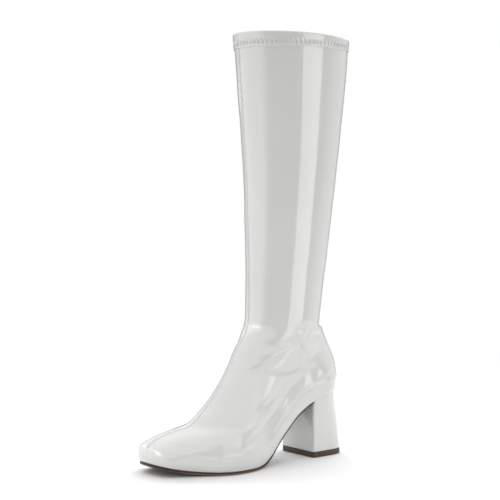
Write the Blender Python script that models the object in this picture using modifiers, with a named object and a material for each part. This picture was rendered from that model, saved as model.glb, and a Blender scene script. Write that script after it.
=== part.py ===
"""Knee-high go go boot for the left foot, with a block heel.

Metres, +Z up. The toe points along -Y and the outer side of the foot faces +X.
The origin is on the floor, at the centre of the heel's ground face.
"""

import math

import bmesh
import bpy
import numpy as np

# Driving sizes of the last and the leg
BOOT_LENGTH = 0.229         # back of the heel seat to the tip of the toe
BALL_WIDTH = 0.0845         # widest part of the feather line
HEEL_HEIGHT = 0.070         # floor to the feather line at the back of the heel
TOE_SPRING = 0.0088         # lift of the feather line at the tip of the toe
TOE_BOX_HEIGHT = 0.027      # feather line to the top of the toe
ANKLE_RISE = 0.080          # feather line at the heel to the narrowest ankle
SHAFT_LENGTH = 0.299        # narrowest ankle to the front of the collar
COLLAR_DROP = 0.0055        # back of the collar below its front
COLLAR_LENGTH = 0.128       # front to back at the collar
COLLAR_WIDTH = 0.109        # side to side at the collar
COLLAR_CENTRE = -0.0335     # middle of the collar, from the origin along Y
SEAT_BACK = 0.0205          # back of the heel seat, from the origin along Y

# Walls and seats
WALL = 0.0016               # one layer of coated fabric and its lining
HEM_WALL = 0.0026           # the turned and stitched hem at the collar
HEM_HEIGHT = 0.0165         # at the front: its lower edge is level all round
LASTING_MARGIN = 0.010      # upper turned in under the foot
SOLE_THICKNESS = 0.0034     # at the ball
WAIST_THICKNESS = 0.0018    # outsole under the arch
SOLE_INSET = 0.0008         # edge of the outsole inside the feather line
EDGE_GROOVE = 0.0005        # depth of the line round the outsole's edge
INSOLE_THICKNESS = 0.0022
INSOLE_CLEARANCE = 0.0012   # insole edge to the wall beside it
GAP = 0.0003                # left between pieces that meet

# Heel
HEEL_WIDTH = 0.053          # breast of the heel at the floor
HEEL_LENGTH = 0.048         # breast to back at the floor
HEEL_BREAST_LEAN = 0.001    # breast further back at its top
HEEL_SEAT_INSET = 0.0012    # heel block inside the feather line at its top
HEEL_CORNER = 0.0030        # rounding of the two breast corners
HEEL_BACK_CAP, HEEL_SQUARENESS = 0.5, 3.0  # share of the heel that rounds its back
TOP_PIECE_THICKNESS = 0.0062
TOP_PIECE_INSET = 0.0002

# Mesh steps
HALF_STATIONS = 34          # points along each side of a ring
END_CROWDING = 0.75         # 0 spaces the points evenly, 1 crowds them at the ends
END_SHARE = 0.3             # share of the foot that an inset moves along
HEEL_LEVELS = 6
HEEL_SIDE_COUNT = 14
HEEL_CORNER_COUNT = 4

# Feather line, from the tip of the toe to the back of the heel.
# along: share of BOOT_LENGTH ahead of the heel. centre, half: shares of BALL_WIDTH.
# spring, climb: shares of TOE_SPRING and HEEL_HEIGHT that make the height.
FEATHER_COLUMNS = ("along", "centre", "half", "spring", "climb")
FEATHER = (
    (1.00, -0.205, 0.335, 1.00, 0.000),    # toe tip
    (0.93, -0.190, 0.358, 0.55, 0.000),    # toe
    (0.87, -0.160, 0.395, 0.27, 0.000),    # toe joints
    (0.81, -0.110, 0.440, 0.10, 0.000),    # inner ball
    (0.75, -0.060, 0.480, 0.02, 0.000),    # front of the ball
    (0.69, -0.025, 0.497, 0.00, 0.000),    # ball
    (0.63, -0.008, 0.485, 0.00, 0.000),    # outer ball
    (0.57, 0.000, 0.452, 0.00, 0.000),     # break of the sole
    (0.52, 0.000, 0.405, 0.00, 0.015),     # front of the waist
    (0.47, 0.005, 0.365, 0.00, 0.100),     # waist
    (0.42, 0.010, 0.340, 0.00, 0.265),     # front of the arch
    (0.36, 0.010, 0.322, 0.00, 0.465),     # middle of the arch
    (0.28, 0.005, 0.312, 0.00, 0.695),     # back of the arch
    (0.19, 0.000, 0.318, 0.00, 0.860),     # heel breast
    (0.09, 0.000, 0.332, 0.00, 0.955),     # heel seat
    (0.00, 0.000, 0.330, 0.00, 1.000),     # heel back
)
SEAM_POINT = 1.9            # 2 makes the shaft's rings ellipses, less points them at the seams
TOE_CAP, TOE_SQUARENESS = 0.120, 3.00      # share of the length that rounds the toe
SEAT_CAP, SEAT_SQUARENESS = 0.125, 2.15    # share that rounds the heel seat

# Rings of the upper's foot, from the feather line up to the ankle.
# steps: rings from this row to the next. front_along, back_along: shares of BOOT_LENGTH.
# front_box, front_climb: shares of TOE_BOX_HEIGHT and of the rise from toe top to ankle.
# back_climb: share of ANKLE_RISE. outset: share of BALL_WIDTH added to the feather line.
# foot: how far the ring keeps the feather line's form. half: share of BALL_WIDTH,
# for the part that no longer keeps it. nose, tail: share of the ring that rounds each end.
# twist: degrees that the ring turns towards the inner side.
FOOT_COLUMNS = (
    "steps", "front_along", "front_box", "front_climb", "back_along", "back_climb",
    "outset", "foot", "half", "nose", "nose_power", "tail", "tail_power", "twist",
)
FOOT_RINGS = (
    (1, 1.000, 0.00, 0.000, 0.000, 0.00, 0.000, 1.00, 0.40, 0.120, 3.00, 0.125, 2.15, 0.0),
    (1, 1.005, 0.26, 0.000, -0.002, 0.09, 0.020, 1.00, 0.40, 0.125, 3.00, 0.130, 2.15, 0.0),
    (2, 0.998, 0.56, 0.000, -0.011, 0.20, 0.020, 1.00, 0.40, 0.140, 2.80, 0.140, 2.10, 0.0),
    (2, 0.955, 0.93, 0.000, -0.011, 0.32, -0.004, 0.95, 0.40, 0.200, 2.40, 0.160, 2.05, 0.0),
    (2, 0.885, 1.00, 0.058, -0.001, 0.44, -0.020, 0.88, 0.40, 0.280, 2.10, 0.190, 2.00, 0.0),
    (2, 0.810, 1.00, 0.112, 0.018, 0.55, -0.034, 0.78, 0.40, 0.340, 1.90, 0.240, 2.00, 0.5),
    (2, 0.744, 1.00, 0.222, 0.040, 0.65, -0.050, 0.62, 0.39, 0.380, 1.80, 0.300, 2.00, 1.5),
    (2, 0.680, 1.00, 0.350, 0.058, 0.73, -0.050, 0.45, 0.39, 0.430, 1.70, 0.370, 2.00, 3.0),
    (2, 0.616, 1.00, 0.510, 0.073, 0.80, -0.050, 0.28, 0.39, 0.460, 1.70, 0.430, 2.00, 4.0),
    (2, 0.548, 1.00, 0.725, 0.086, 0.86, -0.050, 0.12, 0.40, 0.480, 1.75, 0.460, 2.00, 5.0),
)

# Rings of the shaft, from the ankle to the collar.
# rise: share of SHAFT_LENGTH. front, back: shares of COLLAR_LENGTH from COLLAR_CENTRE.
# half: share of COLLAR_WIDTH. drop: share of COLLAR_DROP that the back is lower.
SHAFT_COLUMNS = ("steps", "rise", "front", "back", "half", "drop", "twist")
SHAFT_RINGS = (
    (2, 0.00, 0.428, 0.230, 0.321, 1.4, 7.0),   # ankle
    (2, 0.15, 0.412, 0.276, 0.340, 1.2, 9.0),   # above the ankle
    (2, 0.40, 0.411, 0.354, 0.382, 1.0, 12.0),  # low calf
    (2, 0.65, 0.438, 0.424, 0.430, 1.0, 13.0),  # calf
    (1, 0.85, 0.473, 0.475, 0.473, 1.0, 12.0),  # high calf
    (1, 1.00, 0.500, 0.500, 0.500, 1.0, 11.0),  # collar
)


def smooth(table, column, key, at):
    """Monotone cubic through a table's rows: column as a function of key."""
    order = np.argsort([row[key] for row in table])
    xs = np.array([table[i][key] for i in order], float)
    ys = np.array([table[i][column] for i in order], float)
    runs = np.diff(xs)
    slopes = np.diff(ys) / runs
    tangents = np.empty(len(xs))
    tangents[0], tangents[-1] = slopes[0], slopes[-1]
    before, after = slopes[:-1], slopes[1:]
    weight_a, weight_b = 2 * runs[1:] + runs[:-1], runs[1:] + 2 * runs[:-1]
    same_way = before * after > 0
    safe_before = np.where(same_way, before, 1.0)
    safe_after = np.where(same_way, after, 1.0)
    mean = (weight_a + weight_b) / (weight_a / safe_before + weight_b / safe_after)
    tangents[1:-1] = np.where(same_way, mean, 0.0)
    at = np.clip(np.asarray(at, float), xs[0], xs[-1])
    i = np.clip(np.searchsorted(xs, at, side="right") - 1, 0, len(runs) - 1)
    run = runs[i]
    t = (at - xs[i]) / run
    return (
        (2 * t**3 - 3 * t**2 + 1) * ys[i]
        + (t**3 - 2 * t**2 + t) * run * tangents[i]
        + (3 * t**2 - 2 * t**3) * ys[i + 1]
        + (t**3 - t**2) * run * tangents[i + 1]
    )


def rows(columns, table):
    return [dict(zip(columns, row)) for row in table]


FEATHER_ROWS = rows(FEATHER_COLUMNS, FEATHER)


def y_at(along):
    """Y of a place given as a share of the boot's length ahead of the heel's back."""
    return SEAT_BACK - along * BOOT_LENGTH


def along_at(y):
    return (SEAT_BACK - np.asarray(y, float)) / BOOT_LENGTH


def feather_height(y):
    """Height of the feather line, which is also the top of the outsole and heel."""
    along = along_at(y)
    spring = smooth(FEATHER_ROWS, "spring", "along", along) * TOE_SPRING
    return SOLE_THICKNESS + spring + feather_climb(along)


def feather_climb(along):
    return smooth(FEATHER_ROWS, "climb", "along", along) * (HEEL_HEIGHT - SOLE_THICKNESS)


def clear_of_feather(y, distance):
    """Height of a face that keeps a distance, square to it, above the feather line."""
    reach = BOOT_LENGTH / 400
    slope = (feather_height(y + reach) - feather_height(y - reach)) / (2 * reach)
    return feather_height(y) + distance * np.hypot(1.0, slope)


def feather_centre(y):
    return smooth(FEATHER_ROWS, "centre", "along", along_at(y)) * BALL_WIDTH


def feather_half(y):
    return smooth(FEATHER_ROWS, "half", "along", along_at(y)) * BALL_WIDTH


def cap(distance, power):
    """Rounds an end off: 0 at the end, 1 from a distance of 1 on."""
    inward = 1.0 - np.clip(distance, 0.0, 1.0)
    return np.maximum(1.0 - inward**power, 0.0) ** (1.0 / power)


def stations(count=HALF_STATIONS):
    """Shares along a ring from its front to its back, closer together at the ends."""
    even = np.linspace(0.0, 1.0, count + 1)
    crowded = (1.0 - np.cos(math.pi * even)) / 2
    return END_CROWDING * crowded + (1.0 - END_CROWDING) * even


def foot_outline(inset, share):
    """Y, centre and half width of the feather line moved inwards by inset.

    Away from its two ends, each station keeps its Y whatever the inset.
    """
    front, back = y_at(1.0) + inset, y_at(0.0) - inset
    near_front = np.clip(1.0 - share / END_SHARE, 0.0, 1.0) ** 2
    near_back = np.clip(1.0 - (1.0 - share) / END_SHARE, 0.0, 1.0) ** 2
    y = y_at(1.0) + (y_at(0.0) - y_at(1.0)) * share + inset * (near_front - near_back)
    nose = cap((y - front) / (TOE_CAP * BOOT_LENGTH - inset), TOE_SQUARENESS)
    tail = cap((back - y) / (SEAT_CAP * BOOT_LENGTH - inset), SEAT_SQUARENESS)
    return y, feather_centre(y), (feather_half(y) - inset) * nose * tail


def ring_rows():
    """One list of rows, feather line to collar, with lengths worked out in metres."""
    ankle = HEEL_HEIGHT + ANKLE_RISE
    found = []
    for row in rows(FOOT_COLUMNS, FOOT_RINGS):
        box = float(feather_height(y_at(min(row["front_along"], 1.0))))
        low_front = box + row["front_box"] * TOE_BOX_HEIGHT
        climb = row["front_climb"]
        found.append(
            {
                "steps": row["steps"],
                "front": y_at(row["front_along"]),
                "front_z": low_front * (1 - climb) + climb * ankle if climb else low_front,
                "back": y_at(row["back_along"]),
                "back_z": HEEL_HEIGHT + row["back_climb"] * ANKLE_RISE,
                "outset": row["outset"] * BALL_WIDTH,
                "foot": row["foot"],
                "half": row["half"] * BALL_WIDTH,
                "nose": row["nose"],
                "nose_power": row["nose_power"],
                "tail": row["tail"],
                "tail_power": row["tail_power"],
                "twist": math.radians(row["twist"]),
            }
        )
    for row in rows(SHAFT_COLUMNS, SHAFT_RINGS):
        height = ankle + row["rise"] * SHAFT_LENGTH
        found.append(
            {
                "steps": row["steps"],
                "front": COLLAR_CENTRE - row["front"] * COLLAR_LENGTH,
                "front_z": height,
                "back": COLLAR_CENTRE + row["back"] * COLLAR_LENGTH,
                "back_z": height - row["drop"] * COLLAR_DROP,
                "outset": 0.0,
                "foot": 0.0,
                "half": row["half"] * COLLAR_WIDTH,
                "nose": 0.5,
                "nose_power": SEAM_POINT,
                "tail": 0.5,
                "tail_power": SEAM_POINT,
                "twist": math.radians(row["twist"]),
            }
        )
    for place, row in enumerate(found):
        row["place"] = place
    return found


def ring_at(table, place):
    """The ring between two rows of the table, at a place counted in rows."""
    names = [name for name in table[0] if name not in ("steps", "place")]
    return {name: float(smooth(table, name, "place", place)) for name in names}


def ring_points(ring, share, side):
    """Points of one side of a ring, front to back. side is 1 outside, -1 inside."""
    foot = ring["foot"]
    length = ring["back"] - ring["front"]
    y = ring["front"] + length * share
    half = foot * (feather_half(y) + ring["outset"]) + (1 - foot) * ring["half"]
    half = half * cap((y - ring["front"]) / length / ring["nose"], ring["nose_power"])
    half = half * cap((ring["back"] - y) / length / ring["tail"], ring["tail_power"])
    centre = foot * feather_centre(y)
    ends = feather_height(np.array([ring["front"], ring["back"]]))
    along = (y - ring["front"]) / length
    chord = ends[0] + (ends[1] - ends[0]) * along
    lift_front, lift_back = ring["front_z"] - ends[0], ring["back_z"] - ends[1]
    lift = lift_front + (lift_back - lift_front) * along
    z = foot * feather_height(y) + (1 - foot) * chord + lift
    x = centre + side * half
    middle = (ring["front"] + ring["back"]) / 2
    turn_cos, turn_sin = math.cos(ring["twist"]), math.sin(ring["twist"])
    turned_x = x * turn_cos + (y - middle) * turn_sin
    turned_y = middle - x * turn_sin + (y - middle) * turn_cos
    return np.stack([turned_x, turned_y, z], axis=1)


def whole_ring(sides):
    """One closed ring from its outer and inner side, both given front to back."""
    outer, inner = sides
    return np.concatenate([outer, inner[-2:0:-1]])


def new_object(name, points, faces, material):
    mesh = bpy.data.meshes.new(name)
    mesh.from_pydata([tuple(p) for p in points], [], faces)
    body = bmesh.new()
    body.from_mesh(mesh)
    bmesh.ops.recalc_face_normals(body, faces=body.faces)
    body.to_mesh(mesh)
    body.free()
    mesh.shade_smooth()
    mesh.set_sharp_from_angle(angle=math.radians(35))
    found = bpy.data.objects.new(name, mesh)
    found.data.materials.append(material)
    PARTS.objects.link(found)
    return found


def band_faces(ring_count, ring_size):
    """Quads between neighbouring rings of one size."""
    faces = []
    for i in range(ring_count - 1):
        for j in range(ring_size):
            k = (j + 1) % ring_size
            faces.append(
                (i * ring_size + j, i * ring_size + k,
                 (i + 1) * ring_size + k, (i + 1) * ring_size + j)
            )
    return faces


def ladder_faces(start, ring_size):
    """Closes a ring across, from each point of one side to its partner on the other."""
    faces = []
    last = ring_size - 1
    for j in range(ring_size // 2):
        quad = (j, j + 1, (last - j) % ring_size, (ring_size - j) % ring_size)
        corners = list(dict.fromkeys(quad))
        if len(corners) > 2:
            faces.append(tuple(start + n for n in corners))
        if j + 1 >= last - j - 1:
            break
    return faces


def slab(name, layers, material):
    """A closed solid of stacked rings, closed across at its first and last ring."""
    size = len(layers[0])
    faces = band_faces(len(layers), size)
    faces += ladder_faces(0, size)
    faces += ladder_faces((len(layers) - 1) * size, size)
    return new_object(name, np.concatenate(layers), faces, material)


def paint(name, colour, roughness, coat=0.0):
    """Principled material with a colour, a roughness and a clear coat."""
    material = bpy.data.materials.new(name)
    material.use_nodes = True
    shader = material.node_tree.nodes["Principled BSDF"]
    shader.inputs["Base Color"].default_value = (*colour, 1.0)
    shader.inputs["Roughness"].default_value = roughness
    shader.inputs["Metallic"].default_value = 0.0
    shader.inputs["Coat Weight"].default_value = coat
    material.diffuse_color = (*colour, 1.0)
    return material


def upper_rings():
    """Rings of the upper's outer face, lasting margin first, and which are in the hem."""
    share = stations()
    rings, hem = [], []
    y, centre, half = foot_outline(LASTING_MARGIN, share)
    rings.append(
        whole_ring([np.stack([centre + s * half, y, feather_height(y)], axis=1) for s in (1, -1)])
    )
    table = ring_rows()
    places = []
    for row in table[:-1]:
        places += [row["place"] + n / row["steps"] for n in range(row["steps"])]
    places.append(table[-1]["place"])
    collar = ring_at(table, places[-1])
    for place in places:
        ring = ring_at(table, place)
        if collar["front_z"] - ring["front_z"] > HEM_HEIGHT * 1.2 or place == places[-1]:
            rings.append(whole_ring([ring_points(ring, share, s) for s in (1, -1)]))
    top = rings.pop()
    below = rings[-1]
    rise = (collar["front_z"] - HEM_HEIGHT - below[:, 2:]) / (top - below)[:, 2:]
    hem_edge = below + (top - below) * rise
    step = HEM_WALL - WALL
    middle = hem_edge.mean(axis=0)
    outward = hem_edge - middle
    outward[:, 2] = 0.0
    outward /= np.linalg.norm(outward, axis=1)[:, None]
    round_off = HEM_WALL * 0.35
    hem = [
        hem_edge - [0.0, 0.0, step],
        hem_edge + outward * step,
        top + outward * step - [0.0, 0.0, round_off],
        top + outward * (step - round_off),
    ]
    return rings + hem, len(rings) + 1


def build_upper(material):
    """Foot and shaft in one wall, open at the collar and under the foot."""
    rings, hem_start = upper_rings()
    size = len(rings[0])
    faces = band_faces(len(rings), size)
    upper = new_object("upper", np.concatenate(rings), faces, material)
    if not faces_outwards(upper):
        upper.data.flip_normals()
    hem = upper.vertex_groups.new(name="hem")
    hem.add(list(range(hem_start * size, len(rings) * size)), 1.0, "REPLACE")
    wall = upper.modifiers.new("wall", "SOLIDIFY")
    wall.thickness = HEM_WALL
    wall.vertex_group = "hem"
    wall.thickness_vertex_group = WALL / HEM_WALL
    wall.offset = -1.0
    wall.use_even_offset = True
    return upper


def faces_outwards(tube):
    """True if the tube's widest faces point away from its own middle."""
    highest = max(tube.data.polygons, key=lambda face: face.center.z)
    away = highest.center.copy()
    away.y -= COLLAR_CENTRE
    away.z = 0.0
    return highest.normal.dot(away) > 0


def sole_layer(inset, height, end):
    """Ring of the outsole from the toe back to the heel breast."""
    share = stations()
    kept = share < (end - y_at(1.0)) / BOOT_LENGTH - 1 / (3 * HALF_STATIONS)
    y, centre, half = foot_outline(inset, share)
    half = np.append(half[kept], np.interp(end, y, half))
    centre = np.append(centre[kept], feather_centre(end))
    y = np.append(y[kept], end)
    z = height(y)
    outer = np.stack([centre + half, y, z], axis=1)
    inner = np.stack([centre - half, y, z], axis=1)
    return np.concatenate([outer, inner[:0:-1]])


def sole_depth(y):
    """Outsole thickness: full under the forefoot, thin under the arch."""
    lift = (feather_height(y) - SOLE_THICKNESS) / (HEEL_HEIGHT - SOLE_THICKNESS)
    arch = np.clip(lift / 0.25, 0.0, 1.0) * (along_at(y) < 0.6)
    return SOLE_THICKNESS + (WAIST_THICKNESS - SOLE_THICKNESS) * arch


def build_outsole(material):
    end = breast_y(1.0) - GAP

    def height(share):
        return lambda y: clear_of_feather(y, -GAP - (sole_depth(y) - GAP) * share)

    profile = (
        (0.0, SOLE_INSET),
        (0.46, SOLE_INSET),
        (0.54, SOLE_INSET + EDGE_GROOVE),
        (0.62, SOLE_INSET),
        (0.86, SOLE_INSET),
        (1.00, SOLE_INSET + EDGE_GROOVE * 2),
    )
    layers = [sole_layer(inset, height(share), end) for share, inset in profile]
    return slab("outsole", layers, material)


def breast_y(rise):
    """Y of the heel's flat front face at a height given as a share of the heel."""
    return -HEEL_LENGTH / 2 + HEEL_BREAST_LEAN * rise


def heel_half(y, rise, back):
    """Half width of the heel: squarish at the floor, the feather line's own at its top."""
    length = back - breast_y(rise)
    at_floor = HEEL_WIDTH / 2 * cap((back - y) / (length * HEEL_BACK_CAP), HEEL_SQUARENESS)
    at_seat = feather_half(y) - HEEL_SEAT_INSET
    at_seat = at_seat * cap((back - y) / (SEAT_CAP * BOOT_LENGTH), SEAT_SQUARENESS)
    return at_floor + (at_seat - at_floor) * rise


def heel_layer(rise, height, inset=0.0):
    """Ring of the heel at a share of its height, with both breast corners rounded."""
    back = HEEL_LENGTH / 2 + (y_at(0.0) - HEEL_SEAT_INSET - HEEL_LENGTH / 2) * rise
    corner_y = breast_y(rise) + HEEL_CORNER
    turn = np.linspace(0.0, math.pi / 2, HEEL_SIDE_COUNT + 1)
    y = corner_y + (back - corner_y) * np.sin(turn)
    half = heel_half(y, rise, back)
    bend = np.linspace(0.0, math.pi / 2, HEEL_CORNER_COUNT + 1)[:-1]
    y = np.concatenate([corner_y - HEEL_CORNER * np.cos(bend), y])
    half = np.concatenate([half[0] - HEEL_CORNER * (1 - np.sin(bend)), half])
    middle = (back + breast_y(rise)) / 2
    y = middle + (y - middle) * (1 - inset / (back - middle))
    half = half * (1 - inset / (HEEL_WIDTH / 2))
    z = height(y)
    outer = np.stack([half, y, z], axis=1)
    inner = np.stack([-half, y, z], axis=1)
    return np.concatenate([outer, inner[-2::-1]])


def build_heel(material):
    floor = TOP_PIECE_THICKNESS + GAP

    def level(rise):
        return lambda y: floor + (feather_height(y) - GAP - floor) * rise

    layers = [heel_layer(rise, level(rise)) for rise in np.linspace(0.0, 1.0, HEEL_LEVELS)]
    return slab("heel_block", layers, material)


def build_top_piece(material):
    levels = (0.0, TOP_PIECE_THICKNESS)
    layers = [heel_layer(0.0, lambda y, z=z: np.full(len(y), z), TOP_PIECE_INSET) for z in levels]
    return slab("top_piece", layers, material)


def build_insole(material):
    share = stations()
    layers = []
    for level in (0.0, INSOLE_THICKNESS):
        y, centre, half = foot_outline(WALL + INSOLE_CLEARANCE, share)
        z = clear_of_feather(y, WALL + GAP + level)
        layers.append(
            whole_ring([np.stack([centre + s * half, y, z], axis=1) for s in (1, -1)])
        )
    return slab("insole", layers, material)


for old in list(bpy.data.objects):
    bpy.data.objects.remove(old)
PARTS = bpy.data.collections.new("go_go_boot")
bpy.context.scene.collection.children.link(PARTS)

PATENT = paint("white_patent", (0.80, 0.80, 0.78), 0.12, coat=1.0)
EDGE = paint("brown_sole", (0.10, 0.05, 0.035), 0.45)
RUBBER = paint("brown_rubber", (0.055, 0.036, 0.024), 0.55)
SOCK = paint("sock_lining", (0.74, 0.70, 0.64), 0.7)

build_upper(PATENT)
build_outsole(EDGE)
build_heel(PATENT)
build_top_piece(RUBBER)
build_insole(SOCK)
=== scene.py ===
"""Looks of the knee-high go go boot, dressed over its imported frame.

Metres, in the frame's own axes: the toe points along -Y and the outer side faces +X.
The sizes, tables and ring functions are those that the frame's solids were made from.
"""

import math

import bpy
import numpy as np
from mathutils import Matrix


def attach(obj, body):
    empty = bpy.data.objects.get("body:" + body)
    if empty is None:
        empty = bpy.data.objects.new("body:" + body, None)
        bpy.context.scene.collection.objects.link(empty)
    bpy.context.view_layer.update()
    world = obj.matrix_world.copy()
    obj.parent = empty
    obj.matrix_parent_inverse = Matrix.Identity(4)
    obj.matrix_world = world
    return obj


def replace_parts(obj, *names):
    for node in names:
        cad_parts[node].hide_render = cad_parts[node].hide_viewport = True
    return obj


# Driving sizes of the last and the leg
BOOT_LENGTH = 0.229         # back of the heel seat to the tip of the toe
BALL_WIDTH = 0.0845         # widest part of the feather line
HEEL_HEIGHT = 0.070         # floor to the feather line at the back of the heel
TOE_SPRING = 0.0088         # lift of the feather line at the tip of the toe
TOE_BOX_HEIGHT = 0.027      # feather line to the top of the toe
ANKLE_RISE = 0.080          # feather line at the heel to the narrowest ankle
SHAFT_LENGTH = 0.299        # narrowest ankle to the front of the collar
COLLAR_DROP = 0.0055        # back of the collar below its front
COLLAR_LENGTH = 0.128       # front to back at the collar
COLLAR_WIDTH = 0.109        # side to side at the collar
COLLAR_CENTRE = -0.0335     # middle of the collar, from the origin along Y
SEAT_BACK = 0.0205          # back of the heel seat, from the origin along Y

# Walls and seats
WALL = 0.0016
HEM_WALL = 0.0026
HEM_HEIGHT = 0.0165         # at the front: its lower edge is level all round
LASTING_MARGIN = 0.010      # upper turned in under the foot
FEATHER_ROUND = 0.0012      # radius of the upper where it turns under
SOLE_THICKNESS = 0.0034     # at the ball
WAIST_THICKNESS = 0.0018    # outsole under the arch
WAIST_START, WAIST_LIFT = 0.6, 0.25  # behind this share of the length, thin at this climb
SOLE_INSET = 0.0008         # edge of the outsole inside the feather line

# Heel
HEEL_WIDTH = 0.053          # breast of the heel at the floor
HEEL_LENGTH = 0.048         # breast to back at the floor
HEEL_BREAST_LEAN = 0.001    # breast further back at its top
HEEL_SEAT_INSET = 0.0012    # heel block inside the feather line at its top
HEEL_CORNER = 0.0030        # rounding of the two breast corners
HEEL_BACK_CAP, HEEL_SQUARENESS = 0.5, 3.0  # share of the heel that rounds its back
TOP_PIECE_THICKNESS = 0.0062
TOP_PIECE_INSET = 0.0002

# Mesh steps
END_SHARE = 0.3             # share of the foot that an inset moves along
HALF_STATIONS = 120         # points along each side of a ring of the upper
BESIDE_SEAM = (0.25, 0.5, 0.75, 1.25, 1.5, 1.75)  # extra points at each end, in stations
FOOT_STEPS = 9              # rings between two rows of FOOT_RINGS
SHAFT_STEPS = (18, 28, 26, 22, 16)  # rings between two rows of SHAFT_RINGS
TURN_ANGLES = (0.0, 22.0, 45.0, 67.0, 90.0)  # rings of the turn under the foot
SKIN_START, LINING_START = 0.2, 0.3  # lowest ring above that turn, counted in rows
SKIN_END, LINING_END = 0.35, 0.2     # how far the hem covers them, in shares of its height
LINING_STATIONS = 48
LINING_FOOT_STEPS = 4
LINING_SHAFT_STEPS = (8, 12, 12, 10, 8)
FOLD_SAMPLES = 120
COLLAR_STATIONS = 160       # points along each side of the collar, before they are evened out
COLLAR_LEVELS = 30
HEM_RING_STEP = 0.0007
STEPS_PER_STITCH = 8        # of the hem's own rings
THREAD_STEPS_PER_STITCH = 12
THREAD_SIDES = 6

# Form of the folds
FOLD_BANK = 0.35            # how far a fold lifts its banks, 0 for not at all
FOLD_TAPER = 0.7            # less keeps a fold deep closer to its ends
FOLD_FADE = 0.3             # share of the way from a seam to mid side where folds fade in
WAVES = (                   # millimetres, phase, and radians per metre along X, Y and Z
    (0.10, 0.7, (0, 40, 61)),
    (0.08, 2.1, (-55, 0, 93)),
    (0.06, 4.0, (-90, 70, 150)),
    (0.05, 1.3, (120, 0, 38)),
)

# Seams down the front and the back
SEAM_GROOVE, SEAM_GROOVE_WIDTH = 0.0009, 0.0008
SEAM_RIDGE, SEAM_RIDGE_WIDTH, SEAM_RIDGE_AT = 0.00040, 0.0010, 0.0020
GATHER, GATHER_PITCH, GATHER_WIDTH = 0.0008, 0.0085, 0.0050
GATHER_ALL_ALONG = 0.35     # share of GATHER that a seam has everywhere
GATHER_PLACES = ((0.86, 0.05, 1.5), (0.30, 0.03, 0.5))  # share of the height, spread, more

# Zigzag of the hem
STITCH_PITCH = 0.0048       # one zig and one zag
STITCH_LOW, STITCH_HIGH = 0.0014, 0.0088  # above the hem's lower edge
THREAD_RADIUS = 0.00024
HEM_RIPPLE = 0.00028        # how far a stitch draws the hem in
HEM_RIPPLE_REACH = 0.0034   # half the height of the band that the stitches draw in
HEM_FLATTENED, HEM_FLATTENED_REACH = 0.5, 0.0012  # thinner at its lower edge
HEM_JOIN_GROOVE, HEM_JOIN_RIDGE = 0.0008, 0.0004  # where the seams cross the hem
HEM_FACING = 0.002          # inner side of the hem below its outer side
HEM_FACING_PROUD = 0.0004   # facing inside the lining

# Feather line, from the tip of the toe to the back of the heel.
# along: share of BOOT_LENGTH ahead of the heel. centre, half: shares of BALL_WIDTH.
# spring, climb: shares of TOE_SPRING and HEEL_HEIGHT that make the height.
FEATHER_COLUMNS = ("along", "centre", "half", "spring", "climb")
FEATHER = (
    (1.00, -0.205, 0.335, 1.00, 0.000),    # toe tip
    (0.93, -0.190, 0.358, 0.55, 0.000),    # toe
    (0.87, -0.160, 0.395, 0.27, 0.000),    # toe joints
    (0.81, -0.110, 0.440, 0.10, 0.000),    # inner ball
    (0.75, -0.060, 0.480, 0.02, 0.000),    # front of the ball
    (0.69, -0.025, 0.497, 0.00, 0.000),    # ball
    (0.63, -0.008, 0.485, 0.00, 0.000),    # outer ball
    (0.57, 0.000, 0.452, 0.00, 0.000),     # break of the sole
    (0.52, 0.000, 0.405, 0.00, 0.015),     # front of the waist
    (0.47, 0.005, 0.365, 0.00, 0.100),     # waist
    (0.42, 0.010, 0.340, 0.00, 0.265),     # front of the arch
    (0.36, 0.010, 0.322, 0.00, 0.465),     # middle of the arch
    (0.28, 0.005, 0.312, 0.00, 0.695),     # back of the arch
    (0.19, 0.000, 0.318, 0.00, 0.860),     # heel breast
    (0.09, 0.000, 0.332, 0.00, 0.955),     # heel seat
    (0.00, 0.000, 0.330, 0.00, 1.000),     # heel back
)
SEAM_POINT = 1.9            # 2 makes the shaft's rings ellipses, less points them at the seams
TOE_CAP, TOE_SQUARENESS = 0.120, 3.00      # share of the length that rounds the toe
SEAT_CAP, SEAT_SQUARENESS = 0.125, 2.15    # share that rounds the heel seat

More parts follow.
